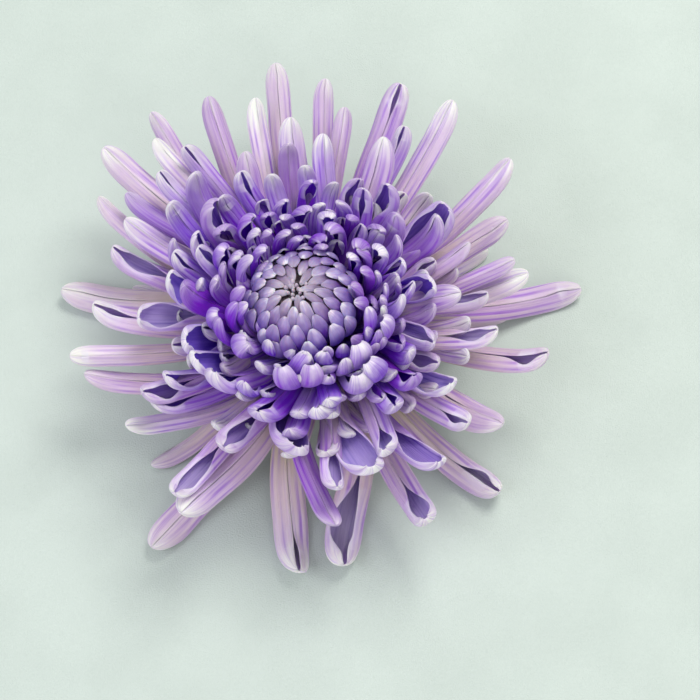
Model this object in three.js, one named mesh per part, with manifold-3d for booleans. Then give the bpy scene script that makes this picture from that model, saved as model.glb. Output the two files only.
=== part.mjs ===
// A cut chrysanthemum bloom of the quilled kind, lying face up on its back, in millimetres, +Z up.
// Its ray florets grow in rings from a small receptacle: the lowest droop to the surface, the rings above
// reach out and turn up at their tips, and the innermost close over one another in a round heart.
// A green calyx of overlapping bracts holds the receptacle, on a stem cut short beneath the bloom.
import * as THREE from "three";
import { mergeVertices } from "three/addons/utils/BufferGeometryUtils.js";
import Module from "manifold-3d";

const wasm = await Module();
wasm.setup();

// Driving dimensions
const ROOT_HEIGHT = 24; // the level of the lowest floret roots above the surface
const VIEW_ELEVATION = 64; // degrees above the horizon, the line of sight along which floret tips were read
const VIEW_DISTANCE = 850; // from which they were read
const RECEPTACLE_RADIUS = 11;
const RECEPTACLE_BASE = -4; // heights below are counted from ROOT_HEIGHT
const RECEPTACLE_TOP = 4;
const SEAT_GAP = 0.3; // between two pieces that touch
const HEART_LEAN = -8; // degrees the heart tips to the left, towards -X
const HEART_SHIFT = -1.6; // of its foot, along X
const HEART_CENTRE = 10.8;
const HEART_RADIUS = 13; // of the core that the heart's florets cover
const HEART_HALF_HEIGHT = 10.4;
const HEART_DIMPLE = 2; // depth of the hollow at its growing point
const HEART_DIMPLE_SPREAD = 18; // degrees from the pole
const HEART_FLORETS = 64;
const GOLDEN_ANGLE = 137.508;
const CALYX_RADIUS = 9.6;
const CALYX_BASE = -12;
const STEM_RADIUS = 2.7;
const STEM_RIBS = 6;
const BLADE_THICKNESS = 0.75;

const radians = (degrees) => (degrees * Math.PI) / 180;
const mix = (a, b, t) => a + (b - a) * t;
const smooth = (t) => t * t * (3 - 2 * t);

// A repeatable draw between 0 and 1 for a floret's number and the trait it decides.
function draw(number, trait) {
  const scattered = Math.sin(number * 12.9898 + trait * 78.233) * 43758.5453;
  return scattered - Math.floor(scattered);
}

// Rings of ray florets, from the ones on the surface up to those round the heart. rootHeight and tipHeight
// are counted from ROOT_HEIGHT. rootPitch and tipPitch are the line's slope at its two ends, in degrees.
// form is what a floret is when its own entry names none.
const RINGS = {
  resting: { rootHeight: -3, rootPitch: -14, tipPitch: -8, tipHeight: -25.8, form: "quill", section: "wide" },
  skirt: { rootHeight: -3, rootPitch: -18, tipPitch: -8, tipHeight: -25.8, form: "quill", section: "wide" },
  outer: { rootHeight: -2.4, rootPitch: -6, tipPitch: 12, tipHeight: 0, form: "quill", section: "wide" },
  fourth: { rootHeight: -1.4, rootPitch: 6, tipPitch: 16, tipHeight: 5.5, form: "quill", section: "wide" },
  third: { rootHeight: -0.4, rootPitch: 18, tipPitch: 30, tipHeight: 11, form: "finger", section: "keeled" },
  second: { rootHeight: 0.6, rootPitch: 28, tipPitch: 54, tipHeight: 14, form: "finger", section: "short" },
  inner: { rootHeight: 0.8, rootPitch: 16, tipPitch: 80, tipHeight: 15, form: "finger", section: "keeled" },
};

// closed: the share of the length that is rolled into a quill before it opens into a trough. bend: degrees
// that the tip bends up, over bendWidths of its widths.
const FORMS = {
  quill: { closed: 1, bend: 25, bendWidths: 1.6 },
  nick: { closed: 1, bend: 35, bendWidths: 1.6 },
  finger: { closed: 1, bend: 60, bendWidths: 1.6 },
  slit: { closed: 0.8, bend: 32, bendWidths: 1.6 },
  eye: { closed: 0.8, bend: 50, bendWidths: 1.6 },
  boat: { closed: 0.6, bend: 35, bendWidths: 1.6 },
  hood: { closed: 0.8, bend: 85, bendWidths: 1.6 },
};

// Where each floret ends, clockwise from the back: how far its tip is seen to the right of the bloom's
// middle and above it along the line of sight, its width, how far its tip lies above its ring's height, how
// far its middle bows sideways, anticlockwise, and its form.
const TIPS = {
  resting: [
    [65.8, 8.5, 6.3], [46.5, -44.5, 6.3, 0, "nick"], [5, -63.3, 8, 0, 5, "slit"],
    [-6.8, -65.3, 7.5, 0, -4, "nick"], [-41.5, -57.3, 7], [-40.3, -37.5, 4.5], [-63.5, 7.3, 6.8],
  ],
  skirt: [
    [-2, 34, 5.5], [24, 30, 5.5], [42, 19, 5.5], [-21, 31, 5.5], [-40, 21, 5.5], [-46, 8, 5.5], [48, 3, 5.5],
  ],
  outer: [
    [1.5, 61.5, 5.2], [7.5, 54.3, 4.7, 3], [21.5, 60.3, 7, 0, 3, "nick"], [35.5, 55.5, 6.4, 0, 2],
    [50.8, 40, 6.8], [48.5, 26.5, 6.2], [50.8, 15.8, 4.4, 3], [54.5, 12.3, 6.4, -2],
    [47.8, -4.5, 6.2, 2, "slit"], [60.5, -11, 7, -4, "nick"], [48, -29.3, 9, -6, 3],
    [31, -53.3, 6.8, -8, "eye"], [-35.8, -49.8, 9, -3, 3], [-36.8, -45.3, 6, 2, "slit"],
    [-48.3, -27, 5.2, -3, 4], [-59, -14.8, 6, -5, 4], [-62.5, -8, 5.2, 0, 3], [-58, 1.8, 7, -2, "nick"],
    [-53.3, 16.8, 6.4, 0, "slit"], [-56.3, 30.3, 5.6, -2], [-54, 43.8, 7, -1], [-41.8, 45.5, 5.6, 2],
    [-40.8, 53.5, 4.6, -3], [-27.8, 56.8, 5.6], [-16.5, 56.5, 5.2, 1], [-10.5, 65.3, 6, -2],
  ],
  fourth: [
    [1, 47.8, 5.4], [20, 46.3, 7.4], [24, 49.5, 5, -2, "nick"], [36.5, 29, 9, 1, "boat"], [40.5, 19, 4.6],
    [38.3, 7.8, 6.4, 1], [33.3, -5.3, 5.8, 2, "slit"], [37, -19.5, 6.5, -1, "boat"],
    [41.3, -27, 5.8, -4, "nick"], [33, -39.5, 6.2, -4, "boat"], [21.5, -35.8, 5.8, "eye"],
    [15.5, -43, 8.4, -1, -2, "boat"], [4.8, -53.5, 5.4, -6, -6], [4.3, -44.8, 5.4, -1, "slit"],
    [-8.3, -38.3, 9, "boat"], [-25.8, -33.8, 6.4, "slit"], [-42.3, -23.3, 5.6, -3, "slit"],
    [-45.3, -20.3, 6.2, "slit"], [-47.5, 2, 6.6, 1, "boat"], [-49.3, 25.3, 6, -2], [-49, 31.8, 5, -4],
    [-40.8, 37.8, 4.8, "nick"], [-32.8, 45.5, 5.2, -1, "nick"], [-19.5, 43, 6.2], [-7.8, 51.8, 6.4, -1],
  ],
  third: [
    [-2.3, 41.5, 4.6], [3.8, 37.3, 4, -2], [10.2, 38.3, 5.2, "slit"], [13.3, 35.3, 5.4, 1, "nick"],
    [22.8, 35.5, 7, "eye"], [36, 26, 6.8, -2], [25, 28.2, 7], [24.8, 21, 5, 1], [25.5, 15.5, 4.8, 1, "eye"],
    [33.5, 11.5, 6.5, -1, "boat"], [26.5, 2.6, 6, 1], [28.8, -10.5, 5.8], [28, -19, 6.4, "eye"],
    [23.3, -24.5, 6, -1, "nick"], [15, -20.8, 7.3, "hood"], [6.3, -24.3, 5.4, 1],
    [2.6, -27.8, 6.4, -1, "eye"], [-5.3, -33, 5.8, -2], [-16, -28.3, 7.8, "nick"], [-29, -18.8, 7.2, "eye"],
    [-40.3, -16, 5.8, -3, "slit"], [-34.5, -12.3, 7.2, "boat"], [-38, -4.3, 7.6, -1, "boat"],
    [-38.2, 8.3, 7, 2], [-41, 11, 7, -2, "boat"], [-38.3, 17.5, 5.4, "nick"], [-40.5, 19.5, 5.6, -3],
    [-34.2, 22, 5.6, 1, "eye"], [-31.6, 19.3, 4.8, 2, "slit"], [-38.7, 31.6, 5.4, -2], [-34, 38.8, 6.4, -3],
    [-31.5, 30.6, 6.6, 1, "hood"], [-25, 33.8, 5.2], [-21, 39, 5.8, -1, "nick"], [-12, 39.2, 4.8],
    [-7.4, 47, 5.2, -3],
  ],
  second: [
    [-1.8, 38, 4.8, -1, "eye"], [0, 31.4, 4.4], [2.9, 29.3, 5, 1, "hood"], [8.8, 31.5, 4.8],
    [17.3, 26.8, 5.2, "eye"], [18.8, 19.8, 5.2, 1, "hood"], [24, 11, 4.4, -2, "slit"],
    [18.8, 6.8, 4.8, "nick"], [21.5, -1.8, 5.2, "hood"], [17.6, -5.8, 4.2, -1], [18.6, -14.4, 6.6, "hood"],
    [13.6, -11.6, 6.4, 1, "hood"], [9, -13.5, 4.8], [-0.3, -17, 6.2, "hood"], [-6.8, -17.6, 6.2, "hood"],
    [-19.8, -18.6, 5.4, -1, "slit"], [-26.5, -3, 5, -1], [-22.4, -6.6, 6, "hood"],
    [-28.8, 1.4, 5.2, -2, "hood"], [-27.8, 11, 5.2], [-31.6, 10.6, 5.4, -3], [-27.1, 14.4, 5.2, 1, "nick"],
    [-26.6, 19, 5.6, 1, "hood"], [-25.6, 26.6, 6, "eye"], [-20.2, 26.6, 5.4, 1, "hood"],
    [-13, 29.6, 4.8, 1, "eye"], [-10.3, 32.3, 5, -1, "eye"], [-4.9, 30.5, 5, "hood"],
  ],
  inner: [
    [12.5, 20.8, 5, 1, "hood"], [6.5, 24.8, 4.8, "hood"], [10, 27, 4.2, -1], [1.5, 20, 3.8, 1],
    [0, 22.6, 4, "hood"], [-4, 25.2, 4, -1], [-7, 27.5, 3.9, -1], [-5.5, 21.6, 3.8, 1], [-9.5, 22.6, 4.2],
    [-13.2, 22.8, 4.1], [-16.9, 22.5, 4.3, "eye"], [-16, 17.5, 4.5, 1, "eye"], [-21.6, 16.4, 4.7, -1, "eye"],
    [-20, 13.6, 5, 1], [-21.4, 5.4, 5.2], [-20.4, 2, 4.6], [-22.3, 0.4, 4.8, -1], [-5, -12.2, 5, -1, "hood"],
    [15, -1.6, 4.6], [14, 5, 4.4], [12.6, 8, 4.2, 1], [15.2, 12.4, 4.7], [14.5, 17, 4.5],
    [10.8, 17, 4.2, 1, "eye"],
  ],
};

// The point at a height that is seen so far across and up by someone who looks down on the bloom.
function seenPoint(across, up, height) {
  const [sine, cosine] = [Math.sin(radians(VIEW_ELEVATION)), Math.cos(radians(VIEW_ELEVATION))];
  const slant = up / VIEW_DISTANCE;
  const depth = (up - height * (slant * sine + cosine)) / (sine - slant * cosine);
  const nearness = 1 - (height * sine - depth * cosine) / VIEW_DISTANCE;
  return new THREE.Vector3(across * nearness, depth, height);
}

// A floret's line: a curve from its root in the receptacle to where its tip bends up, then the bend.
const ROOT_RADIUS = 8;
const CURVE_REACH = 0.36; // length of the curve's handles as a share of its span
class FloretLine {
  constructor(ring, tipEntry) {
    const form = FORMS[tipEntry.find((value) => typeof value === "string") ?? ring.form];
    const [across, up, width, lift = 0, bow = 0] = tipEntry.filter((value) => typeof value === "number");
    const tip = seenPoint(across, up, ring.tipHeight + lift);
    const azimuth = Math.atan2(tip.y, tip.x);
    const heading = (pitch) =>
      new THREE.Vector3(
        Math.cos(azimuth) * Math.cos(radians(pitch)),
        Math.sin(azimuth) * Math.cos(radians(pitch)),
        Math.sin(radians(pitch)),
      );
    const root = new THREE.Vector3(
      ROOT_RADIUS * Math.cos(azimuth),
      ROOT_RADIUS * Math.sin(azimuth),
      ring.rootHeight,
    );
    this.width = width;
    this.closed = form.closed;
    this.section = SECTIONS[ring.section];
    this.across = new THREE.Vector3(-Math.sin(azimuth), Math.cos(azimuth), 0);
    this.bend = radians(form.bend);
    this.bendRadius = (width * form.bendWidths) / this.bend;
    const tipHeading = heading(ring.tipPitch);
    const sway = (bow * 4) / 3;
    const endHeading = tipHeading
      .clone()
      .multiplyScalar(tip.distanceTo(root) * CURVE_REACH)
      .addScaledVector(this.across, -sway / 2)
      .normalize();
    const steepest = Math.min(this.bend, radians(90 - ring.tipPitch));
    const end = tip.clone().addScaledVector(endHeading, -this.bendRadius * Math.sin(steepest));
    const span = end.distanceTo(root);
    const handle = span * CURVE_REACH;
    this.bendShare = (width * form.bendWidths) / (span + width * form.bendWidths);
    this.curve = new THREE.CubicBezierCurve3(
      root,
      root.clone().addScaledVector(heading(ring.rootPitch), handle).addScaledVector(this.across, sway * 1.5),
      end.clone().addScaledVector(tipHeading, -handle).addScaledVector(this.across, sway / 2),
      end,
    );
  }

  // The place and directions at a share of the length: along the floret, and towards its hollow side.
  at(share) {
    const bodyShare = Math.min(share / (1 - this.bendShare), 1);
    const turn = this.bend * Math.max((share - 1 + this.bendShare) / this.bendShare, 0);
    const place = this.curve.getPoint(bodyShare);
    const along = this.curve.getTangent(bodyShare);
    const inward = along.clone().cross(this.across).normalize();
    const across = inward.clone().cross(along);
    place
      .addScaledVector(along, this.bendRadius * Math.sin(turn))
      .addScaledVector(inward, this.bendRadius * (1 - Math.cos(turn)));
    const turnedInward = inward
      .clone()
      .multiplyScalar(Math.cos(turn))
      .addScaledVector(along, -Math.sin(turn));
    return { place, inward: turnedInward, across };
  }
}

// The width of a floret at a share of its length: a narrow root, widest near the tip.
const ROOT_WIDTH_SHARE = 0.42;
const SHOULDER_SHARE = 0.86; // of the width, where the tip begins to close
function widthAt(width, share) {
  const swelling = mix(ROOT_WIDTH_SHARE, 1, smooth(Math.min(share / 0.7, 1)));
  return width * swelling * (share > 0.9 ? SHOULDER_SHARE : 1);
}

// The corners of a floret's section, from its left rim round the belly to its right rim and its top: how far
// each lies to the side, and how far up where the floret is a closed quill and where it is an open trough.
// steps are the shares of the length at which sections stand.
const SECTION_DEPTH = 0.46; // as a share of the width
const TIP_RISE = 0.7; // how high in the section the tip's point lies
const TOP = [0, 1.15, null];
const KEEL = [[-1, 0.55, 1], [0, -0.1, -0.1], [1, 0.55, 1], TOP];
const SECTIONS = {
  wide: {
    corners: [[-1, 0.55, 1], [-0.62, 0, 0], [0.62, 0, 0], [1, 0.55, 1], TOP],
    steps: [0, 0.34, 0.7, 0.94, 1],
  },
  keeled: { corners: KEEL, steps: [0, 0.36, 0.7, 0.93, 1] },
  short: { corners: KEEL, steps: [0, 0.55, 0.9, 1] },
};

// A cone whose rings of corners are laid along a line: its foot is the root and its point the tip.
function coneAlong(sides, steps, cornerAt, middleAt) {
  const cone = new THREE.ConeGeometry(1, 1, sides, steps);
  cone.deleteAttribute("normal");
  cone.deleteAttribute("uv");
  const places = cone.getAttribute("position");
  for (let i = 0; i < places.count; i++) {
    const step = Math.round((places.getY(i) + 0.5) * steps);
    const offAxis = Math.hypot(places.getX(i), places.getZ(i)) > 1e-6;
    const turn = Math.atan2(places.getX(i), places.getZ(i)) / (2 * Math.PI);
    const corner = (Math.round(turn * sides) + sides) % sides;
    const place = offAxis ? cornerAt(step, corner) : middleAt(step);
    places.setXYZ(i, place.x, place.y, place.z);
  }
  return cone;
}

// One ray floret: a quill, closed or open towards its end, with a rounded tip that bends up.
function rayFloret(line) {
  const { corners, steps } = line.section;
  const depthAt = (share) => Math.max(widthAt(line.width, share) * SECTION_DEPTH, BLADE_THICKNESS);
  const cornerAt = (step, corner) => {
    const share = steps[step];
    const { place, inward, across } = line.at(share);
    const [side, closedRise, openRise] = corners[corner];
    const depth = depthAt(share);
    const openHeight = openRise === null ? BLADE_THICKNESS : openRise * depth;
    return place
      .addScaledVector(across, (side * widthAt(line.width, share)) / 2)
      .addScaledVector(inward, share < line.closed ? closedRise * depth : openHeight);
  };
  const middleAt = (step) => {
    const { place, inward } = line.at(steps[step]);
    const isTip = step === steps.length - 1;
    return place.addScaledVector(inward, isTip ? depthAt(1) * TIP_RISE : BLADE_THICKNESS / 2);
  };
  return coneAlong(corners.length, steps.length - 1, cornerAt, middleAt);
}

// The heart's surface at a polar angle from its growing point, dimpled at the pole.
function heartPoint(polar, azimuth, standOff) {
  const dimple = HEART_DIMPLE * Math.exp(-((polar / radians(HEART_DIMPLE_SPREAD)) ** 2));
  return new THREE.Vector3(
    (HEART_RADIUS + standOff) * Math.sin(polar) * Math.cos(azimuth),
    (HEART_RADIUS + standOff) * Math.sin(polar) * Math.sin(azimuth),
    HEART_CENTRE + (HEART_HALF_HEIGHT + standOff - dimple) * Math.cos(polar),
  );
}

// One floret of the heart: a scale that stands out from the globe and bends its blunt tip back over it,
// towards the pole. Florets follow the golden angle, and grow larger away from the pole.
const HEART_STEPS = [0, 0.55, 0.88, 1];
const HEART_STAND_OFF = [-2.2, 0.6, 1, 0.1];
const HEART_WIDTH_SHARE = [0.7, 1, 0.8, 0];
const HEART_RIDGE = [0.1, 0.3, 0.34, 0];
const HEART_TIP_POLAR = 70; // degrees from the pole to the outermost tips
const HEART_CROWDING = 0.9; // how fast the spacing grows away from the pole
function heartFloret(number) {
  const age = (number + 0.5) / HEART_FLORETS;
  const azimuth = radians(number * GOLDEN_ANGLE);
  const tipPolar = radians(HEART_TIP_POLAR) * age ** HEART_CROWDING;
  const width = mix(1.5, 5, age ** 0.7) * mix(0.92, 1.08, draw(number, 1));
  const basePolar = tipPolar + (3 + width * 2.1) / HEART_RADIUS;
  const across = new THREE.Vector3(-Math.sin(azimuth), Math.cos(azimuth), 0);
  const middleAt = (step) => {
    const standOff = HEART_STAND_OFF[step] + 0.6 * age * HEART_STEPS[step] + 0.5 * draw(number, 2) - 0.25;
    return heartPoint(mix(basePolar, tipPolar, HEART_STEPS[step]), azimuth, standOff);
  };
  const cornerAt = (step, corner) => {
    const middle = middleAt(step);
    const outward = middle.clone().sub(new THREE.Vector3(0, 0, HEART_CENTRE)).normalize();
    const side = [-1, 0, 1, 0][corner];
    const rise = [0, width * HEART_RIDGE[step], 0, -BLADE_THICKNESS][corner];
    const halfWidth = (width / 2) * HEART_WIDTH_SHARE[step];
    return middle.addScaledVector(across, side * halfWidth).addScaledVector(outward, rise);
  };
  return coneAlong(4, HEART_STEPS.length - 1, cornerAt, middleAt);
}

// The space that the heart fills, larger all round by a margin: a goblet shape, narrow where it is seated.
function heartSpace(margin) {
  const profile = [
    [0, -1 - margin], [5 + margin, -1 - margin], [6.8 + margin, 1.6 - margin], [8.4 + margin, 4.6 - margin],
    [10.8 + margin, 7.8 - margin], [14.6 + margin, 11.6], [15.4 + margin, 15.4], [13.2 + margin, 19 + margin],
    [8.6 + margin, 22.6 + margin], [0, 24 + margin],
  ];
  return new THREE.LatheGeometry(profile.map(([r, z]) => new THREE.Vector2(r, z)), 32).rotateX(Math.PI / 2);
}

// A lathe about Z from pairs of radius and height, given from the foot upwards.
function turned(profile, segments) {
  const points = profile.map(([radius, height]) => new THREE.Vector2(radius, height));
  return new THREE.LatheGeometry(points, segments).rotateX(Math.PI / 2);
}

// A closed mesh as a solid, whichever way round its faces were made.
function solidOf(geometry) {
  const bare = geometry.index ? geometry.toNonIndexed() : geometry.clone();
  for (const name of Object.keys(bare.attributes)) if (name !== "position") bare.deleteAttribute(name);
  const merged = mergeVertices(bare, 1e-4);
  const corners = new Uint32Array(merged.index.array);
  const build = () =>
    new wasm.Manifold(
      new wasm.Mesh({
        numProp: 3,
        vertProperties: new Float32Array(merged.attributes.position.array),
        triVerts: corners,
      }),
    );
  const solid = build();
  if (solid.volume() >= 0) return solid;
  for (let i = 0; i < corners.length; i += 3) {
    [corners[i + 1], corners[i + 2]] = [corners[i + 2], corners[i + 1]];
  }
  return build();
}

// Joins many solids two by two, which keeps each join small.
function joined(solids) {
  let left = solids;
  while (left.length > 1) {
    const next = [];
    for (let i = 0; i < left.length; i += 2) {
      next.push(i + 1 < left.length ? left[i].add(left[i + 1]) : left[i]);
    }
    left = next;
  }
  return left[0];
}

// The largest body of a solid, without loose scraps.
function largestBody(solid) {
  return solid.decompose().reduce((best, body) => (body.volume() > best.volume() ? body : best));
}

// A named mesh from a solid, in its own finish.
function piece(name, solid, material) {
  const { vertProperties, triVerts, numProp } = solid.getMesh();
  const places = new Float32Array((vertProperties.length / numProp) * 3);
  for (let i = 0; i < places.length / 3; i++) {
    places.set(vertProperties.subarray(i * numProp, i * numProp + 3), i * 3);
  }
  const geometry = new THREE.BufferGeometry()
    .setAttribute("position", new THREE.BufferAttribute(places, 3))
    .setIndex(new THREE.BufferAttribute(triVerts, 1));
  geometry.computeVertexNormals();
  const mesh = new THREE.Mesh(geometry, material);
  mesh.name = name;
  return mesh;
}

const lilacPetal = new THREE.MeshStandardMaterial({ color: 0xa88fd8, roughness: 0.6, metalness: 0 });
const palePetal = new THREE.MeshStandardMaterial({ color: 0xc4b6d6, roughness: 0.6, metalness: 0 });
const greenBract = new THREE.MeshStandardMaterial({ color: 0x7c8f55, roughness: 0.7, metalness: 0 });
const greenStem = new THREE.MeshStandardMaterial({ color: 0x6f8a45, roughness: 0.65, metalness: 0 });

const leanHeart = (geometry) => geometry.rotateY(radians(HEART_LEAN)).translate(HEART_SHIFT, 0, 0);
const surface = solidOf(new THREE.BoxGeometry(400, 400, 60).translate(0, 0, -ROOT_HEIGHT - 30));

// Green bracts in three overlapping rows round a cup.
const CALYX_PROFILE = [
  [0, CALYX_BASE], [STEM_RADIUS + 0.6, CALYX_BASE], [6.2, CALYX_BASE + 2], [8.6, CALYX_BASE + 5],
  [CALYX_RADIUS, RECEPTACLE_BASE - SEAT_GAP], [0, RECEPTACLE_BASE - SEAT_GAP],
];
const BRACT_ROWS = [
  { count: 8, base: -11.4, tip: -7.2, radiusBase: 3.6, radiusTip: 8.8, width: 4.2 },
  { count: 9, base: -10, tip: -5.6, radiusBase: 6, radiusTip: 10.2, width: 4.4 },
  { count: 10, base: -8, tip: -4.5, radiusBase: 7.8, radiusTip: 10.9, width: 4.4 },
];
function bract(row, number, turn) {
  const azimuth = (2 * Math.PI * (number + turn)) / row.count;
  const shares = [0, 0.6, 1];
  const widthShare = [0.7, 1, 0];
  const spine = (share) => {
    const radius = mix(row.radiusBase, row.radiusTip, Math.sin((share * Math.PI) / 2));
    const height = mix(row.base, row.tip, share);
    return new THREE.Vector3(radius * Math.cos(azimuth), radius * Math.sin(azimuth), height);
  };
  const across = new THREE.Vector3(-Math.sin(azimuth), Math.cos(azimuth), 0);
  const outward = new THREE.Vector3(Math.cos(azimuth) * 0.7, Math.sin(azimuth) * 0.7, -0.7);
  const cornerAt = (step, corner) => {
    const side = [-1, 0, 1, 0][corner] * (row.width / 2) * widthShare[step];
    const rise = [0, 0.55, 0, -0.9][corner];
    return spine(shares[step]).addScaledVector(across, side).addScaledVector(outward, rise);
  };
  return coneAlong(4, shares.length - 1, cornerAt, (step) => spine(shares[step]));
}
const bracts = BRACT_ROWS.flatMap((row, rowNumber) =>
  Array.from({ length: row.count }, (_, number) => solidOf(bract(row, number, rowNumber / 2))),
);
const calyxTop = RECEPTACLE_BASE - SEAT_GAP;
const underReceptacle = solidOf(new THREE.BoxGeometry(60, 60, 30).translate(0, 0, calyxTop - 15));
const calyx = largestBody(joined([solidOf(turned(CALYX_PROFILE, 20)), ...bracts]).intersect(underReceptacle));

// The stem, ribbed along its length and cut square just under the bloom.
function ribbedStem() {
  const outline = new THREE.Shape();
  const points = 30;
  for (let i = 0; i < points; i++) {
    const angle = (2 * Math.PI * i) / points;
    const radius = STEM_RADIUS * (1 + 0.07 * Math.cos(STEM_RIBS * angle));
    const place = [radius * Math.cos(angle), radius * Math.sin(angle)];
    if (i === 0) outline.moveTo(...place);
    else outline.lineTo(...place);
  }
  const length = ROOT_HEIGHT + CALYX_BASE - SEAT_GAP;
  const stem = new THREE.ExtrudeGeometry(outline, { depth: length, bevelEnabled: false });
  return stem.translate(0, 0, -ROOT_HEIGHT);
}
const stem = solidOf(ribbedStem());

// The ray florets and the receptacle that they grow from, clear of the heart, the calyx and the surface.
const RECEPTACLE_PROFILE = [
  [0, RECEPTACLE_BASE], [RECEPTACLE_RADIUS - 1, RECEPTACLE_BASE], [RECEPTACLE_RADIUS, RECEPTACLE_BASE + 1.5],
  [RECEPTACLE_RADIUS, RECEPTACLE_TOP - 1.5], [RECEPTACLE_RADIUS - 1, RECEPTACLE_TOP], [0, RECEPTACLE_TOP],
];
const CALYX_CLEARANCE_PROFILE = [
  [0, CALYX_BASE - 1], [STEM_RADIUS + 3, CALYX_BASE - 1], [10, CALYX_BASE + 4], [11.6, calyxTop],
  [11.6, RECEPTACLE_BASE], [0, RECEPTACLE_BASE],
];
const florets = Object.entries(TIPS).flatMap(([ring, tips]) =>
  tips.map((tip) => solidOf(rayFloret(new FloretLine(RINGS[ring], tip)))),
);
const rays = largestBody(
  joined([solidOf(turned(RECEPTACLE_PROFILE, 32)), ...florets])
    .subtract(solidOf(leanHeart(heartSpace(SEAT_GAP))))
    .subtract(solidOf(turned(CALYX_CLEARANCE_PROFILE, 28)))
    .subtract(surface),
);

// The heart: its core with a neck that seats on the receptacle, covered in florets.
const heartCore = new THREE.SphereGeometry(1, 24, 12)
  .rotateX(Math.PI / 2)
  .scale(HEART_RADIUS - 0.6, HEART_RADIUS - 0.6, HEART_HALF_HEIGHT - 0.6 - HEART_DIMPLE)
  .translate(0, 0, HEART_CENTRE);
const HEART_NECK_PROFILE = [
  [0, -6], [6.4, -6], [7.6, 2], [9.8, 6], [9.8, HEART_CENTRE], [0, HEART_CENTRE],
];
const heartNeck = turned(HEART_NECK_PROFILE, 24);
const heartFlorets = Array.from({ length: HEART_FLORETS }, (_, number) =>
  solidOf(leanHeart(heartFloret(number))),
);
const heart = largestBody(
  joined([solidOf(leanHeart(heartCore)), solidOf(leanHeart(heartNeck)), ...heartFlorets]).intersect(
    solidOf(leanHeart(heartSpace(0))),
  ),
);

const bloom = new THREE.Group();
bloom.add(
  piece("stem", stem, greenStem),
  piece("calyx", calyx, greenBract),
  piece("ray_florets", rays, lilacPetal),
  piece("heart_florets", heart, palePetal),
);

// The frame's origin is on the surface, under the middle of the bloom's outline.
const box = new THREE.Box3().setFromObject(bloom);
bloom.position.set(-(box.min.x + box.max.x) / 2, -(box.min.y + box.max.y) / 2, ROOT_HEIGHT);

export default bloom;
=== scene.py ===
"""A cut chrysanthemum bloom, lying face up: quilled violet florets round a closed heart."""

import math

import bmesh
import bpy
from mathutils import Matrix, Vector, noise


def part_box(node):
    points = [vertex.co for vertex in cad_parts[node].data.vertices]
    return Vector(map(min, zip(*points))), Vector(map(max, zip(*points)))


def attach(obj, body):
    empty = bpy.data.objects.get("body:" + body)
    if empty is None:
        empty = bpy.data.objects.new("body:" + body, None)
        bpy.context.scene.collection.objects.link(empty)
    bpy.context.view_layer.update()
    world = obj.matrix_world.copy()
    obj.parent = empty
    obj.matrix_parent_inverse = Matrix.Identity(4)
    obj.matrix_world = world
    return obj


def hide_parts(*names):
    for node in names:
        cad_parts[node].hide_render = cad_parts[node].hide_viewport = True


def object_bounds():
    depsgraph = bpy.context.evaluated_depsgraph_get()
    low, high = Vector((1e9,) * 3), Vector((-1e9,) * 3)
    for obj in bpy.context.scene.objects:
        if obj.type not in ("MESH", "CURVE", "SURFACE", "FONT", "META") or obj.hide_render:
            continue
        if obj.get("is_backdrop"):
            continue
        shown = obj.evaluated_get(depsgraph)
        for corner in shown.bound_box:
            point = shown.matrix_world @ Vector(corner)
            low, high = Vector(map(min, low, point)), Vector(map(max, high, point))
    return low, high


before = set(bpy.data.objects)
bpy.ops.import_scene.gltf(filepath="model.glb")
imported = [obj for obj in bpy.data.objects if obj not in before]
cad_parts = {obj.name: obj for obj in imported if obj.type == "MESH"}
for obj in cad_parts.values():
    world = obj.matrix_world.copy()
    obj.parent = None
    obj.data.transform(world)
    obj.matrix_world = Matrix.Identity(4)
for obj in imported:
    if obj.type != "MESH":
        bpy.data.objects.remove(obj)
cad_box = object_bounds()

# The stem: a ribbed green stalk of fibrous plant tissue, cut square just under the bloom, that it has grown
# together with. Its skin is waxy and finely ribbed along its length, and the cut end shows paler pith.
MM = 0.001
ROOT_HEIGHT = 24  # mm above the surface, the level where the lowest florets grow
STEM_RADIUS = 2.7
STEM_SIDES = 36
STEM_RINGS = 10
STEM_RIBS = 6
STEM_RIB_DEPTH = 0.07  # as a share of the radius
STEM_RIND = 0.35  # mm of green round the pith
STEM_SWAY = 0.12  # mm that the stalk wanders from a straight line
STEM_SWAY_TURN = 0.8  # radians of that wave in a millimetre

stem_low, stem_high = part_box("stem")
root = Vector(((stem_low.x + stem_high.x) / 2, (stem_low.y + stem_high.y) / 2, ROOT_HEIGHT * MM))
TO_FRAME = Matrix.Translation(root) @ Matrix.Scale(MM, 4)


def linear(hex_colour):
    """An sRGB hex colour as linear red, green, blue and alpha."""
    channels = [int(hex_colour[i : i + 2], 16) / 255 for i in (1, 3, 5)]
    return [c / 12.92 if c <= 0.04045 else ((c + 0.055) / 1.055) ** 2.4 for c in channels] + [1]


def add(tree, kind, settings=None, stops=(), **inputs):
    """Adds a node. Settings are its properties, and inputs are its sockets, each a value or an output.

    Stops are the places and sRGB colours of a colour ramp. n0 is the socket with the number 0.
    """
    made = tree.nodes.new(kind)
    for name, value in (settings or {}).items():
        setattr(made, name, value)
    if stops:
        made.color_ramp.interpolation = "EASE"
        elements = made.color_ramp.elements
        while len(elements) < len(stops):
            elements.new(0.5)
        for element, (place, colour) in zip(elements, stops):
            element.position = place
            element.color = linear(colour)
    for name, value in inputs.items():
        key = int(name[1:]) if name[0] == "n" and name[1:].isdigit() else name.replace("_", " ")
        socket = made.inputs[key]
        if isinstance(value, bpy.types.NodeSocket):
            tree.links.new(value, socket)
        else:
            socket.default_value = value
    return made


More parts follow.
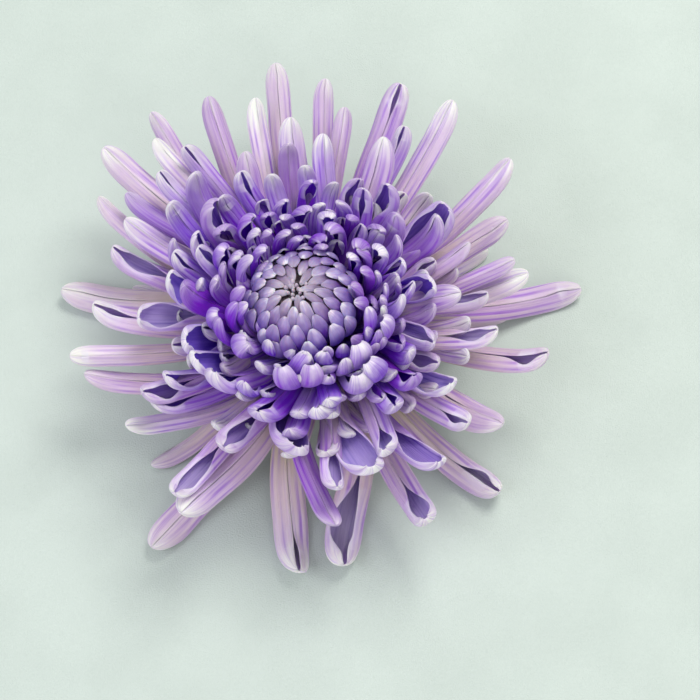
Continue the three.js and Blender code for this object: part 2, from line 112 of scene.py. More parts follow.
def material(name, colour, roughness, bump, **shader):
    """A material whose colour, roughness and bump height are built by functions of its node tree."""
    made = bpy.data.materials.new(name)
    made.use_nodes = True
    tree = made.node_tree
    principled = tree.nodes["Principled BSDF"]
    height, distance = bump(tree)
    bumped = add(tree, "ShaderNodeBump", Height=height, Distance=distance, Strength=0.8)
    tree.links.new(bumped.outputs["Normal"], principled.inputs["Normal"])
    tree.links.new(colour(tree), principled.inputs["Base Color"])
    tree.links.new(roughness(tree), principled.inputs["Roughness"])
    for socket, value in shader.items():
        principled.inputs[socket.replace("_", " ")].default_value = value
    return made


def finish(name, shape, materials, cad_node):
    """Turns a mesh under construction, in mm round the bloom's root, into a piece of the object."""
    bmesh.ops.transform(shape, matrix=TO_FRAME, verts=shape.verts)
    mesh = bpy.data.meshes.new(name)
    shape.to_mesh(mesh)
    shape.free()
    for part in materials:
        mesh.materials.append(part)
    mesh.shade_smooth()
    made = bpy.data.objects.new(name, mesh)
    bpy.context.scene.collection.objects.link(made)
    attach(made, "root")
    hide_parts(cad_node)
    return made


def stem_colour(tree):
    place = add(tree, "ShaderNodeTexCoord").outputs["Object"]
    stretched = add(tree, "ShaderNodeMapping", Vector=place, Scale=(900, 900, 60)).outputs["Vector"]
    fibres = add(tree, "ShaderNodeTexNoise", Vector=stretched, Scale=1, Detail=4).outputs["Fac"]
    greens = [(0.3, "#5E7A36"), (0.5, "#7D9650"), (0.7, "#A3B573")]
    return add(tree, "ShaderNodeValToRGB", stops=greens, Fac=fibres).outputs["Color"]


def stem_roughness(tree):
    place = add(tree, "ShaderNodeTexCoord").outputs["Object"]
    patches = add(tree, "ShaderNodeTexNoise", Vector=place, Scale=700, Detail=2).outputs["Fac"]
    return add(tree, "ShaderNodeMapRange", Value=patches, To_Min=0.42, To_Max=0.62).outputs[0]


def stem_bump(tree):
    place = add(tree, "ShaderNodeTexCoord").outputs["Object"]
    stretched = add(tree, "ShaderNodeMapping", Vector=place, Scale=(2600, 2600, 90)).outputs["Vector"]
    fibres = add(tree, "ShaderNodeTexNoise", Vector=stretched, Scale=1, Detail=2).outputs["Fac"]
    return fibres, 0.0002


# Stem skin: waxy, so it shines softly in patches 1.5 mm across. Its green fibres are drawn 1.1 mm wide and
# 17 mm long, coarser than real ones so that they show, over ridges 0.4 mm wide.
stem_skin = material("waxy_stem_skin", stem_colour, stem_roughness, stem_bump, Subsurface_Weight=0.1)


def pith_colour(tree):
    place = add(tree, "ShaderNodeTexCoord").outputs["Object"]
    cells = add(tree, "ShaderNodeTexVoronoi", Vector=place, Scale=3200).outputs["Distance"]
    pale_greens = [(0.1, "#E2E6C4"), (0.6, "#C3CC96"), (0.9, "#96A768")]
    return add(tree, "ShaderNodeValToRGB", stops=pale_greens, Fac=cells).outputs["Color"]


# Pith: moist and spongy, with pale cells 0.3 mm across, where the stem was cut.
stem_pith = material("cut_stem_pith", pith_colour, stem_roughness, stem_bump, Subsurface_Weight=0.2)


def make_stem():
    shape = bmesh.new()
    bmesh.ops.create_circle(shape, cap_ends=True, segments=STEM_SIDES, radius=STEM_RADIUS)
    ring = bmesh.ops.extrude_face_region(shape, geom=shape.faces[:])
    top = [v for v in ring["geom"] if isinstance(v, bmesh.types.BMVert)]
    length = (stem_high.z - stem_low.z) / MM
    bmesh.ops.translate(shape, verts=top, vec=(0, 0, length))
    ends = [f for f in shape.faces if len(f.verts) > 4]
    bmesh.ops.inset_region(shape, faces=ends, thickness=STEM_RIND)
    for vert in shape.verts:
        angle = math.atan2(vert.co.y, vert.co.x)
        ribbed = 1 + STEM_RIB_DEPTH * math.cos(STEM_RIBS * angle)
        vert.co.x *= ribbed
        vert.co.y *= ribbed
        vert.co.z -= ROOT_HEIGHT
    sides = [e for e in shape.edges if abs(e.verts[0].co.z - e.verts[1].co.z) > 1]
    bmesh.ops.subdivide_edges(shape, edges=sides, cuts=STEM_RINGS, use_grid_fill=True)
    for vert in shape.verts:
        sway = STEM_SWAY * math.sin(vert.co.z * STEM_SWAY_TURN)
        vert.co.x += sway * math.sin(math.pi * (vert.co.z + ROOT_HEIGHT) / length)
    for face in shape.faces:
        face.material_index = 1 if len(face.verts) > 4 else 0
    bmesh.ops.recalc_face_normals(shape, faces=shape.faces)
    return finish("stem_stalk", shape, [stem_skin, stem_pith], "stem")


make_stem()

# The calyx: a shallow cup of green bracts that grows from the stem's top and holds the bloom from below, in
# rows that overlap as tiles do. Each bract is a pointed leathery scale with a thin dry pale edge.
CALYX_RADIUS = 9.6
CALYX_BASE = -12
RECEPTACLE_BASE = -4
BRACT_THICKNESS = 0.3
BRACT_STAND_OFF = 0.45  # mm from the cup, or from the row inside, to a bract's middle
BRACT_ARCH = 0.5  # mm that its middle stands out beyond its edges
BRACT_BELLY = 0.3  # mm that it swells on its way up
BRACT_TIP = 0.05  # of its full width, at its point
BRACT_ROWS = (
    {"count": 13, "base": -11.6, "tip": -7, "radius_base": 3.2, "radius_tip": 8.9, "width": 3.6},
    {"count": 15, "base": -10.4, "tip": -5.4, "radius_base": 5.4, "radius_tip": 10.3, "width": 3.8},
    {"count": 17, "base": -8.4, "tip": -4.6, "radius_base": 7.2, "radius_tip": 10.8, "width": 3.8},
)


def mix(a, b, share):
    return a + (b - a) * share


def draw(number, trait):
    """A repeatable draw between 0 and 1 for a piece's number. Each trait has its own series of draws."""
    scattered = math.sin(number * 12.9898 + trait * 78.233) * 43758.5453
    return scattered - math.floor(scattered)


def give_wall(piece, thickness, inner_material=0):
    """Turns a piece's sheets into walls with a thickness in mm, and rounds them."""
    wall = piece.modifiers.new("Solidify", "SOLIDIFY")
    wall.thickness = thickness * MM
    wall.offset = -1
    wall.material_offset = inner_material
    curve = piece.modifiers.new("Subdivision", "SUBSURF")
    curve.levels = curve.render_levels = 1


def bract_colour(tree):
    spot = add(tree, "ShaderNodeUVMap", {"uv_map": "across_along"}).outputs["UV"]
    across = add(tree, "ShaderNodeSeparateXYZ", Vector=spot).outputs["X"]
    stretched = add(tree, "ShaderNodeMapping", Vector=spot, Scale=(22, 3, 1)).outputs["Vector"]
    veins = add(tree, "ShaderNodeTexNoise", Vector=stretched, Scale=1, Detail=3).outputs["Fac"]
    greens = [(0.3, "#5C7238"), (0.6, "#8A9B62")]
    body = add(tree, "ShaderNodeValToRGB", stops=greens, Fac=veins).outputs["Color"]
    off_middle = add(tree, "ShaderNodeMath", {"operation": "SUBTRACT"}, n0=across, n1=0.5).outputs[0]
    edge = add(tree, "ShaderNodeMath", {"operation": "ABSOLUTE"}, n0=off_middle).outputs[0]
    dry = add(tree, "ShaderNodeMapRange", Value=edge, From_Min=0.34, From_Max=0.47).outputs[0]
    dry_colour = linear("#C9BF9A")
    return add(tree, "ShaderNodeMix", {"data_type": "RGBA"}, n0=dry, n6=body, n7=dry_colour).outputs[2]


# Bract skin: matt and leathery green, with veins 0.2 mm wide, drying to straw along its edges.
bract_skin = material("leathery_green_bract", bract_colour, stem_roughness, stem_bump, Subsurface_Weight=0.1)


def add_bract(shape, row, turn, reach):
    """Adds one bract of a row, at a turn round the stem and with a reach of about 1."""
    across_along = shape.loops.layers.uv["across_along"]
    made = bmesh.ops.create_grid(shape, x_segments=4, y_segments=7, size=0.5, calc_uvs=False)
    across = Vector((-math.sin(turn), math.cos(turn), 0))
    for vert in made["verts"]:
        side, along = vert.co.x * 2, vert.co.y + 0.5
        for loop in vert.link_loops:
            loop[across_along].uv = (side / 2 + 0.5, along)
        outline = math.sin(math.pi * mix(0.25, 1, along) ** 0.9) ** 0.7 if along < 1 else BRACT_TIP
        share = along * reach
        radius = mix(row["radius_base"], row["radius_tip"], math.sin(share * math.pi / 2))
        radius += BRACT_STAND_OFF - BRACT_ARCH * side * side + BRACT_BELLY * math.sin(along * 3)
        height = mix(row["base"], row["tip"], share)
        spine = Vector((radius * math.cos(turn), radius * math.sin(turn), height))
        vert.co = spine + across * side * outline * row["width"] / 2


def make_calyx():
    shape = bmesh.new()
    shape.loops.layers.uv.new("across_along")
    made = bmesh.ops.create_grid(shape, x_segments=40, y_segments=8, size=0.5)
    for vert in made["verts"]:
        turn = (vert.co.x + 0.5) * 2 * math.pi
        rise = vert.co.y + 0.5
        radius = mix(STEM_RADIUS * 0.5, CALYX_RADIUS, math.sin(rise * math.pi / 2))
        height = mix(CALYX_BASE, RECEPTACLE_BASE, rise**1.4)
        vert.co = (radius * math.cos(turn), radius * math.sin(turn), height)
    bmesh.ops.remove_doubles(shape, verts=shape.verts[:], dist=0.001)
    number = 0
    for row_number, row in enumerate(BRACT_ROWS):
        for place in range(row["count"]):
            number += 1
            turn = 2 * math.pi * (place + row_number / 2) / row["count"]
            add_bract(shape, row, turn, mix(0.9, 1.05, draw(number, 5)))
    bmesh.ops.recalc_face_normals(shape, faces=shape.faces)
    calyx = finish("calyx_bracts", shape, [bract_skin], "calyx")
    give_wall(calyx, BRACT_THICKNESS)
    return calyx


make_calyx()

# The receptacle: the firm, fleshy dome that all ray florets grow from, on the calyx. It is hidden among their
# roots, and it is painted deep violet all over, as painted shade for the shade that fills the gaps
# between them.
RECEPTACLE_RADIUS = 10.7
RECEPTACLE_TOP = 4


def receptacle_shade_colour(tree):
    place = add(tree, "ShaderNodeTexCoord").outputs["Object"]
    mottling = add(tree, "ShaderNodeTexNoise", Vector=place, Scale=600, Detail=3).outputs["Fac"]
    shade_violets = [(0.35, "#2A1248"), (0.65, "#4A2A78")]
    return add(tree, "ShaderNodeValToRGB", stops=shade_violets, Fac=mottling).outputs["Color"]


# Receptacle flesh: moist and dull, mottled in patches 1.7 mm across. Its deep violet is painted shade.
receptacle_flesh_in_painted_shade = material("receptacle_flesh_in_painted_shade", receptacle_shade_colour, stem_roughness, stem_bump)


def make_receptacle():
    shape = bmesh.new()
    bmesh.ops.create_uvsphere(shape, u_segments=32, v_segments=16, radius=1)
    for vert in shape.verts:
        height = RECEPTACLE_TOP if vert.co.z > 0 else -RECEPTACLE_BASE
        spread = 1 - abs(vert.co.z) ** 4
        flat = math.hypot(vert.co.x, vert.co.y) or 1
        swell = RECEPTACLE_RADIUS * min(flat * 1.4, 1) * mix(0.9, 1, spread) / flat
        vert.co = (vert.co.x * swell, vert.co.y * swell, vert.co.z * height)
    return finish("receptacle", shape, [receptacle_flesh_in_painted_shade], "ray_florets")


make_receptacle()

# The ray florets: petals rolled into quills that open towards their ends into spoons with hooded tips.
# They grow in rings. The lowest droop to the surface, long and pale, with cream bases. The rings above are
# shorter, steeper and deeper violet, darkest in their hollows, with paler rims.
VIEW_ELEVATION = 64  # degrees above the horizon, the line of sight along which florets were read
CAMERA_DISTANCE = 850  # mm from the root to the camera
GOLDEN_ANGLE = 137.508  # degrees from one floret to the next where a plant places them by rule
PETAL_THICKNESS = 0.35
ROOT_RADIUS = 8  # mm from the bloom's axis, where florets grow
ROOT_WIDTH_SHARE = 0.56  # of a floret's full width, at its root
FULL_WIDTH_SHARE = 0.7  # of a floret's length, where it reaches its full width
CURVE_REACH = 0.36  # how far a floret holds its first and its last direction, as a share of its length
TIP_LENGTH = 1.1  # of the rounded tip, in the floret's widths
TIP_CROWDING = 2.2  # 1 spaces the mesh's rows evenly, and more crowds them towards the tip
CLOSED_ROLL = 0.9985  # how far round a closed quill reaches
GROOVES = ((0.5, 0.14), (1.15, 0.12), (2, 0.12), (2.6, 0.14))  # radians round the roll, share of its radius
GROOVE_SPREAD = 0.24  # radians
CRINKLE = 0.09  # how uneven a petal's skin is, as a share of its roll's radius
CRINKLE_LENGTH = 9  # mm from one swelling to the next
RAGGED = 0.1  # how uneven its open rims are, as a share of the roll
RAGGED_LENGTH = 2.5  # mm from one bump to the next
MOUTH_SPREAD = (0.8, 1.25)  # the shortest and the longest mouth, as shares of its form's
MOUTH_RAMP = (0.8, 1.6)  # the floret's widths over which a mouth opens
TOOTH_DEPTH = 0.16  # of the teeth at the end of a tongue, as a share of its width
TOOTH_TURN = 7.5  # radians of the teeth's wave from the middle to a rim
SWAY = 5  # mm from the farthest left to the farthest right that a floret's middle may lie
TWIST = 50  # degrees, likewise, by which it may twist
LEAN = 1.1  # radians, likewise, by which its mouth may lie to one side
PALE_SPREAD = 0.35  # how far florets of one ring differ in paleness

# Heights are counted from the root. pale is how far a ring has gone from violet to cream and white. full is
# how far its petals swell beyond their measured widths. form is what a floret is when its own entry names
# none.
RINGS = {
    "resting": {"root": -3, "pitch": (-14, -8), "tip": -25.8, "pale": 1.0, "full": 1.3, "form": "quill"},
    "skirt": {"root": -3, "pitch": (-18, -8), "tip": -25.8, "pale": 1.0, "full": 1.2, "form": "quill"},
    "outer": {"root": -2.4, "pitch": (-6, 12), "tip": 0, "pale": 0.84, "full": 1.12, "form": "quill"},
    "fourth": {"root": -1.4, "pitch": (6, 16), "tip": 5.5, "pale": 0.6, "full": 1.2, "form": "quill"},
    "third": {"root": -0.4, "pitch": (18, 30), "tip": 11, "pale": 0.35, "full": 1.15, "form": "finger"},
    "second": {"root": 0.6, "pitch": (28, 54), "tip": 14, "pale": 0.2, "full": 1.1, "form": "finger"},
    "inner": {"root": 0.8, "pitch": (16, 80), "tip": 15, "pale": 0.15, "full": 1.05, "form": "finger"},
}

# mouth: how many of its widths the roll is open for, before its tip. roll: how far round the petal reaches
# where it is most open, as a share of a closed quill. turn: degrees that the tip bends up, over bend of its
# widths. flat: the roll's depth as a share of its width. nose: how high the tip's point lies, 0 at the
# petal's back and 1 at its mouth. blunt: 1.5 is a pointed tip and 2.5 a blunt one. tongue: 0 where the tip
# closes like a toe, 1 where it ends as an open, toothed tongue.
FORM_TRAITS = ("mouth", "roll", "turn", "bend", "flat", "nose", "blunt", "tongue")
FORMS = {
    name: dict(zip(FORM_TRAITS, values))
    for name, values in {
        "quill": (0, CLOSED_ROLL, 25, 1.6, 0.5, 0.55, 1.8, 0),
        "nick": (0.4, 0.84, 35, 1.6, 0.5, 0.7, 2.1, 0.1),
        "finger": (0, CLOSED_ROLL, 55, 1.8, 0.52, 0.7, 1.7, 0),
        "slit": (1.3, 0.78, 32, 1.6, 0.5, 0.75, 2, 0.1),
        "eye": (0.7, 0.72, 45, 1.6, 0.52, 0.85, 2, 0.2),
        "boat": (1.5, 0.6, 35, 1.6, 0.5, 0.85, 2, 0.25),
        "hood": (0.9, 0.7, 62, 1.6, 0.6, 0.8, 2, 0.4),
    }.items()
}

# Where each floret ends, clockwise from the back, in mm: how far its tip is seen to the right of the
# bloom's middle and above it along the line of sight, its width, how far its tip lies above its ring's
# height, how far its middle bows sideways, anticlockwise, and its form.
TIPS = {
    "resting": (
        (65.8, 8.5, 6.3), (46.5, -44.5, 6.3, 0, "nick"), (5, -63.3, 8, 0, 5, "slit"),
        (-6.8, -65.3, 7.5, 0, -4, "nick"), (-41.5, -57.3, 7), (-40.3, -37.5, 4.5), (-63.5, 7.3, 6.8),
    ),
    "skirt": (
        (-2, 34, 5.5), (24, 30, 5.5), (42, 19, 5.5), (-21, 31, 5.5), (-40, 21, 5.5), (-46, 8, 5.5),
        (48, 3, 5.5),
    ),
    "outer": (
        (1.5, 61.5, 5.2), (7.5, 54.3, 4.7, 3), (21.5, 60.3, 7, 0, 3, "nick"), (35.5, 55.5, 6.4, 0, 2),
        (50.8, 40, 6.8), (48.5, 26.5, 6.2), (50.8, 15.8, 4.4, 3), (54.5, 12.3, 6.4, -2),
        (47.8, -4.5, 6.2, 2, "slit"), (60.5, -11, 7, -4, "nick"), (48, -29.3, 9, -6, 3),
        (31, -53.3, 6.8, -8, "eye"), (-35.8, -49.8, 9, -3, 3), (-36.8, -45.3, 6, 2, "slit"),
        (-48.3, -27, 5.2, -3, 4), (-59, -14.8, 6, -5, 4), (-62.5, -8, 5.2, 0, 3), (-58, 1.8, 7, -2, "nick"),
        (-53.3, 16.8, 6.4, 0, "slit"), (-56.3, 30.3, 5.6, -2), (-54, 43.8, 7, -1), (-41.8, 45.5, 5.6, 2),
        (-40.8, 53.5, 4.6, -3), (-27.8, 56.8, 5.6), (-16.5, 56.5, 5.2, 1), (-10.5, 65.3, 6, -2),
    ),
    "fourth": (
        (1, 47.8, 5.4), (20, 46.3, 7.4), (24, 49.5, 5, -2, "nick"), (36.5, 29, 9, 1, "boat"),
        (40.5, 19, 4.6), (38.3, 7.8, 6.4, 1), (33.3, -5.3, 5.8, 2, "slit"), (37, -19.5, 6.5, -1, "boat"),
        (41.3, -27, 5.8, -4, "nick"), (33, -39.5, 6.2, -4, "boat"), (21.5, -35.8, 5.8, "eye"),
        (15.5, -43, 8.4, -1, -2, "boat"), (4.8, -53.5, 5.4, -6, -6), (4.3, -44.8, 5.4, -1, "slit"),
        (-8.3, -38.3, 9, "boat"), (-25.8, -33.8, 6.4, "slit"), (-42.3, -23.3, 5.6, -3, "slit"),
        (-45.3, -20.3, 6.2, "slit"), (-47.5, 2, 6.6, 1, "boat"), (-49.3, 25.3, 6, -2), (-49, 31.8, 5, -4),
        (-40.8, 37.8, 4.8, "nick"), (-32.8, 45.5, 5.2, -1, "nick"), (-19.5, 43, 6.2), (-7.8, 51.8, 6.4, -1),
    ),
    "third": (
        (-2.3, 41.5, 4.6), (3.8, 37.3, 4, -2), (10.2, 38.3, 5.2, "slit"), (13.3, 35.3, 5.4, 1, "nick"),
        (22.8, 35.5, 7, "eye"), (36, 26, 6.8, -2), (25, 28.2, 7), (24.8, 21, 5, 1),
        (25.5, 15.5, 4.8, 1, "eye"), (33.5, 11.5, 6.5, -1, "boat"), (26.5, 2.6, 6, 1), (28.8, -10.5, 5.8),
        (28, -19, 6.4, "eye"), (23.3, -24.5, 6, -1, "nick"), (15, -20.8, 7.3, "hood"), (6.3, -24.3, 5.4, 1),
        (2.6, -27.8, 6.4, -1, "eye"), (-5.3, -33, 5.8, -2), (-16, -28.3, 7.8, "nick"),
        (-29, -18.8, 7.2, "eye"), (-40.3, -16, 5.8, -3, "slit"), (-34.5, -12.3, 7.2, "boat"),
        (-38, -4.3, 7.6, -1, "boat"), (-38.2, 8.3, 7, 2), (-41, 11, 7, -2, "boat"),
        (-38.3, 17.5, 5.4, "nick"), (-40.5, 19.5, 5.6, -3), (-34.2, 22, 5.6, 1, "eye"),
        (-31.6, 19.3, 4.8, 2, "slit"), (-38.7, 31.6, 5.4, -2), (-34, 38.8, 6.4, -3),
        (-31.5, 30.6, 6.6, 1, "hood"), (-25, 33.8, 5.2), (-21, 39, 5.8, -1, "nick"), (-12, 39.2, 4.8),
        (-7.4, 47, 5.2, -3),
    ),
    "second": (
        (-1.8, 38, 4.8, -1, "eye"), (0, 31.4, 4.4), (2.9, 29.3, 5, 1, "hood"), (8.8, 31.5, 4.8),
        (17.3, 26.8, 5.2, "eye"), (18.8, 19.8, 5.2, 1, "hood"), (24, 11, 4.4, -2, "slit"),
        (18.8, 6.8, 4.8, "nick"), (21.5, -1.8, 5.2, "hood"), (17.6, -5.8, 4.2, -1),
        (18.6, -14.4, 6.6, "hood"), (13.6, -11.6, 6.4, 1, "hood"), (9, -13.5, 4.8), (-0.3, -17, 6.2, "hood"),
        (-6.8, -17.6, 6.2, "hood"), (-19.8, -18.6, 5.4, -1, "slit"), (-26.5, -3, 5, -1),
        (-22.4, -6.6, 6, "hood"), (-28.8, 1.4, 5.2, -2, "hood"), (-27.8, 11, 5.2), (-31.6, 10.6, 5.4, -3),
        (-27.1, 14.4, 5.2, 1, "nick"), (-26.6, 19, 5.6, 1, "hood"), (-25.6, 26.6, 6, "eye"),
        (-20.2, 26.6, 5.4, 1, "hood"), (-13, 29.6, 4.8, 1, "eye"), (-10.3, 32.3, 5, -1, "eye"),
        (-4.9, 30.5, 5, "hood"),
    ),
    "inner": (
        (12.5, 20.8, 5, 1, "hood"), (6.5, 24.8, 4.8, "hood"), (10, 27, 4.2, -1), (1.5, 20, 3.8, 1),
        (0, 22.6, 4, "hood"), (-4, 25.2, 4, -1), (-7, 27.5, 3.9, -1), (-5.5, 21.6, 3.8, 1),
        (-9.5, 22.6, 4.2), (-13.2, 22.8, 4.1), (-16.9, 22.5, 4.3, "eye"), (-16, 17.5, 4.5, 1, "eye"),
        (-21.6, 16.4, 4.7, -1, "eye"), (-20, 13.6, 5, 1), (-21.4, 5.4, 5.2), (-20.4, 2, 4.6),
        (-22.3, 0.4, 4.8, -1), (-5, -12.2, 5, -1, "hood"), (15, -1.6, 4.6), (14, 5, 4.4), (12.6, 8, 4.2, 1),
        (15.2, 12.4, 4.7), (14.5, 17, 4.5), (10.8, 17, 4.2, 1, "eye"),
    ),
}


def smooth(share):
    share = min(max(share, 0), 1)
    return share * share * (3 - 2 * share)


# The grooves' painted shade, by how far round the roll from its back, in turns: white where a groove
# is deepest and the painted shade is strongest.
GROOVE_SHADE_LINES = (
    (0.03, "#000000"), (0.08, "#FFFFFF"), (0.13, "#000000"), (0.145, "#000000"), (0.183, "#FFFFFF"),
    (0.22, "#000000"), (0.28, "#000000"), (0.318, "#FFFFFF"), (0.355, "#000000"), (0.38, "#000000"),
    (0.414, "#FFFFFF"), (0.45, "#000000"),
)


def petal_colour(violet_stops, pale_stops, vein_and_groove_shade_colour, vein_strength, groove_shade_strength, rim_colour):
    """The colour of one side of a petal, from its base to its tip, streaked along its length."""

    def build(tree):
        spot = add(tree, "ShaderNodeUVMap", {"uv_map": "across_along"}).outputs["UV"]
        parts = add(tree, "ShaderNodeSeparateXYZ", Vector=spot)
        across, along = parts.outputs["X"], parts.outputs["Y"]
        tint = add(tree, "ShaderNodeAttribute", {"attribute_name": "tint"}).outputs["Color"]
        traits = add(tree, "ShaderNodeSeparateColor", Color=tint)
        luck, pale, margin = traits.outputs["Red"], traits.outputs["Green"], traits.outputs["Blue"]

        # Streaks half a millimetre wide, and patches of 3 by 13 mm. Luck moves them on from petal to petal.
        moved = add(tree, "ShaderNodeMath", {"operation": "MULTIPLY"}, n0=luck, n1=60.0).outputs[0]
        shift = add(tree, "ShaderNodeCombineXYZ", Z=moved).outputs[0]
        fine = add(tree, "ShaderNodeMapping", Vector=spot, Scale=(26, 1.6, 1)).outputs["Vector"]
        fine = add(tree, "ShaderNodeVectorMath", {"operation": "ADD"}, n0=fine, n1=shift).outputs[0]
        streaks = add(tree, "ShaderNodeTexNoise", Vector=fine, Scale=1, Detail=4, Roughness=0.6)
        streaks = streaks.outputs["Fac"]
        broad = add(tree, "ShaderNodeMapping", Vector=spot, Scale=(5, 3, 1)).outputs["Vector"]
        broad = add(tree, "ShaderNodeVectorMath", {"operation": "ADD"}, n0=broad, n1=shift).outputs[0]
        patches = add(tree, "ShaderNodeTexNoise", Vector=broad, Scale=1, Detail=2).outputs["Fac"]
        even_patches = {"Value": patches, "From_Min": 0.3, "From_Max": 0.7}

        # The colour runs from the base to the tip, sooner on some petals than on others.
        wander = add(tree, "ShaderNodeMapRange", **even_patches, To_Min=-0.07, To_Max=0.05).outputs[0]
        ripeness = add(tree, "ShaderNodeMapRange", Value=luck, To_Min=0.04, To_Max=-0.07).outputs[0]
        early = add(tree, "ShaderNodeMath", {"operation": "ADD"}, n0=wander, n1=ripeness).outputs[0]
        place = add(tree, "ShaderNodeMath", {"operation": "ADD"}, n0=along, n1=early).outputs[0]
        violet = add(tree, "ShaderNodeValToRGB", stops=violet_stops, Fac=place).outputs["Color"]
        cream = add(tree, "ShaderNodeValToRGB", stops=pale_stops, Fac=place).outputs["Color"]
        body = add(tree, "ShaderNodeMix", {"data_type": "RGBA"}, n0=pale, n6=violet, n7=cream).outputs[2]

        # Veins follow the streaks. The grooves get painted shade, in the veins' colour, in places but not
        # at the tip.
        dark = linear(vein_and_groove_shade_colour)
        vein = add(tree, "ShaderNodeMapRange", Value=streaks, From_Min=0.48, From_Max=0.76,
                   To_Max=vein_strength).outputs[0]
        body = add(tree, "ShaderNodeMix", {"data_type": "RGBA"}, n0=vein, n6=body, n7=dark).outputs[2]
        off_middle = add(tree, "ShaderNodeMath", {"operation": "SUBTRACT"}, n0=across, n1=0.5).outputs[0]
        round_roll = add(tree, "ShaderNodeMath", {"operation": "ABSOLUTE"}, n0=off_middle).outputs[0]
        lines = add(tree, "ShaderNodeValToRGB", stops=GROOVE_SHADE_LINES, Fac=round_roll).outputs["Color"]
        groove_shade_in_places = add(tree, "ShaderNodeMapRange", Value=patches, From_Min=0.38, From_Max=0.62,
                        To_Max=groove_shade_strength).outputs[0]
        before_tip = add(tree, "ShaderNodeMapRange", Value=along, From_Min=0.97, From_Max=0.8).outputs[0]
        groove = add(tree, "ShaderNodeMath", {"operation": "MULTIPLY"}, n0=lines, n1=groove_shade_in_places).outputs[0]
        groove = add(tree, "ShaderNodeMath", {"operation": "MULTIPLY"}, n0=groove, n1=before_tip).outputs[0]
        body = add(tree, "ShaderNodeMix", {"data_type": "RGBA"}, n0=groove, n6=body, n7=dark).outputs[2]

        # Each petal has its own hue and lightness, and violet ones are the richest.
        hue = add(tree, "ShaderNodeMapRange", Value=luck, To_Min=0.488, To_Max=0.506).outputs[0]
        richness = add(tree, "ShaderNodeMapRange", Value=pale, To_Min=1.45, To_Max=1.2).outputs[0]
        patchy = add(tree, "ShaderNodeMapRange", **even_patches, To_Min=0.88, To_Max=1.1).outputs[0]
        light = add(tree, "ShaderNodeMapRange", Value=luck, To_Min=1.08, To_Max=0.9).outputs[0]
        light = add(tree, "ShaderNodeMath", {"operation": "MULTIPLY"}, n0=patchy, n1=light).outputs[0]
        body = add(tree, "ShaderNodeHueSaturation", Color=body, Hue=hue, Saturation=richness,
                   Value=light).outputs["Color"]

        # An open petal's rims are pale towards its tip.
        rim_along = add(tree, "ShaderNodeMapRange", Value=along, From_Min=0.35, From_Max=0.95).outputs[0]
        rim_side = add(tree, "ShaderNodeMapRange", Value=margin, From_Min=0.7, From_Max=1.0,
                       To_Max=0.85).outputs[0]
        rim = add(tree, "ShaderNodeMath", {"operation": "MULTIPLY"}, n0=rim_along, n1=rim_side).outputs[0]
        rim_pale = linear(rim_colour)
        return add(tree, "ShaderNodeMix", {"data_type": "RGBA"}, n0=rim, n6=body, n7=rim_pale).outputs[2]

    return build


def petal_roughness(tree):
    place = add(tree, "ShaderNodeTexCoord").outputs["Object"]
    patches = add(tree, "ShaderNodeTexNoise", Vector=place, Scale=500, Detail=2).outputs["Fac"]
    return add(tree, "ShaderNodeMapRange", Value=patches, To_Min=0.46, To_Max=0.68).outputs[0]


def petal_bump(tree):
    spot = add(tree, "ShaderNodeUVMap", {"uv_map": "across_along"}).outputs["UV"]
    stretched = add(tree, "ShaderNodeMapping", Vector=spot, Scale=(70, 5, 1)).outputs["Vector"]
    veins = add(tree, "ShaderNodeTexNoise", Vector=stretched, Scale=1, Detail=2).outputs["Fac"]
    return veins, 0.00025


# Light goes about a millimetre into a thin moist petal, and its blue and red parts go farthest.
PETAL_GLOW = {
    "Subsurface_Weight": 0.6, "Subsurface_Scale": 0.0012, "Subsurface_Radius": (0.8, 0.6, 1.0),
}

# Petal skin outside: satin, with fine veins 0.25 mm apart along its length. Violet ones go from near black at
# the base to lilac and then whitish at the tip, and pale ones from beige to white. At the base their own
# deep violet and cream are darkened further with painted shade, where the bases lie deep among the others.
petal_outside = material(
    "satin_petal_outside",
    petal_colour(
        [(0.0, "#2C0A6C"), (0.3, "#5022A8"), (0.58, "#8052CE"), (0.8, "#A286D6"), (0.92, "#BCABDA"),
         (1.0, "#EAE2F0")],
        [(0.0, "#988670"), (0.3, "#CCBEA8"), (0.55, "#DCC8CE"), (0.8, "#E4D2E6"), (1.0, "#F6F0F4")],
        "#8A52C6", 0.55, 0.6, "#E9DFF6",
    ),
    petal_roughness, petal_bump, Sheen_Weight=0.1, **PETAL_GLOW,
)

# Petal skin inside: the hollow of the roll, a deep velvety violet that fades towards the rim.
petal_inside = material(
    "velvet_petal_inside",
    petal_colour(
        [(0.0, "#34127A"), (0.5, "#5A32A8"), (0.8, "#7E5CC0"), (0.93, "#9C80D0"), (1.0, "#BFAEE0")],
        [(0.0, "#7A6A92"), (0.5, "#B0A2C4"), (0.8, "#C8BED6"), (0.93, "#D4CCE0"), (1.0, "#E6E0EE")],
        "#3A1488", 0.4, 0.3, "#DCCFEC",
    ),
    petal_roughness, petal_bump, **PETAL_GLOW,
)


def seen_point(across, up, height):
    """The point at a height that is seen so far across and up by a camera that looks down on the bloom."""
    sine, cosine = math.sin(math.radians(VIEW_ELEVATION)), math.cos(math.radians(VIEW_ELEVATION))
    slant = up / CAMERA_DISTANCE
    depth = (up - height * (slant * sine + cosine)) / (sine - slant * cosine)
    nearness = 1 - (height * sine - depth * cosine) / CAMERA_DISTANCE
    return Vector((across * nearness, depth, height))


